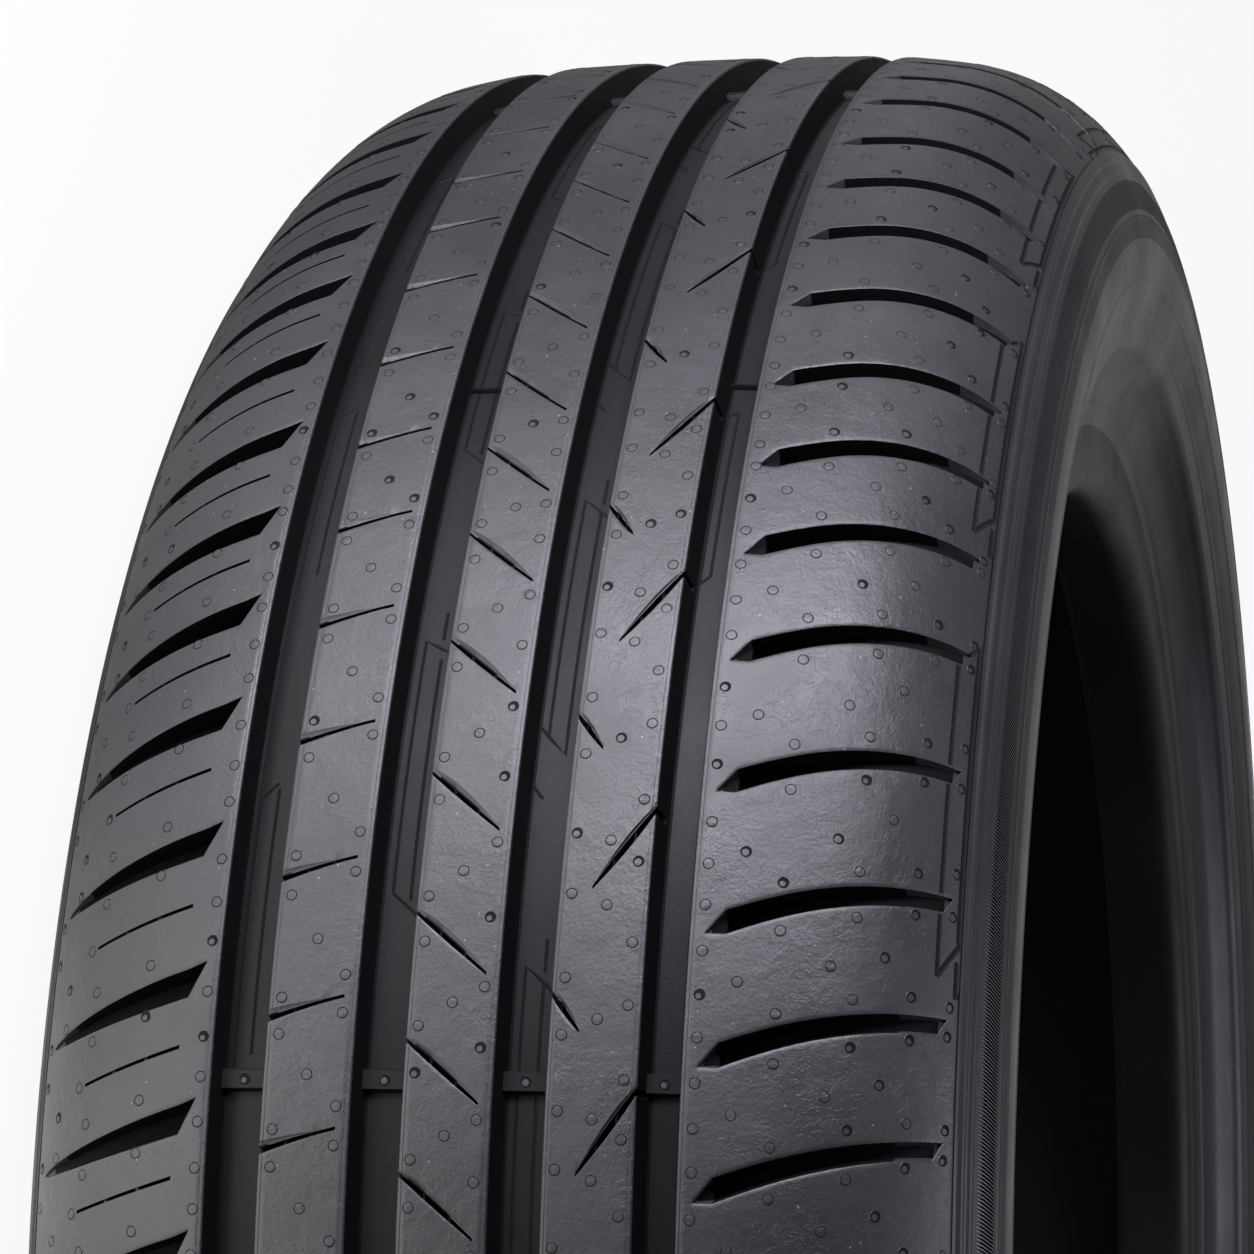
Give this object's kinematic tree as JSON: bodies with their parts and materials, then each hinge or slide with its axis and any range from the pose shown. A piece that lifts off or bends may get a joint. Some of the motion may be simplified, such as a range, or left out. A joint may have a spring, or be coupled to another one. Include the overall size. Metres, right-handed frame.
{
  "type": "car tyre",
  "caption": "Tubeless radial car tyre with an asymmetric ribbed summer tread, straight main grooves, curved shoulder grooves and angled sipes.",
  "frame": {"origin": "centre of the tyre, on its axis and midway between its two sidewalls", "axes": "+Z along the axis of rotation, towards the sidewall that the picture shows; the tyre lies on its other sidewall"},
  "size_m": [0.632, 0.632, 0.2054],
  "materials": {
    "tyre_rubber": "satin"
  },
  "bodies": {
    "root": {"tyre": "tyre_rubber"}
  },
  "joints": []
}
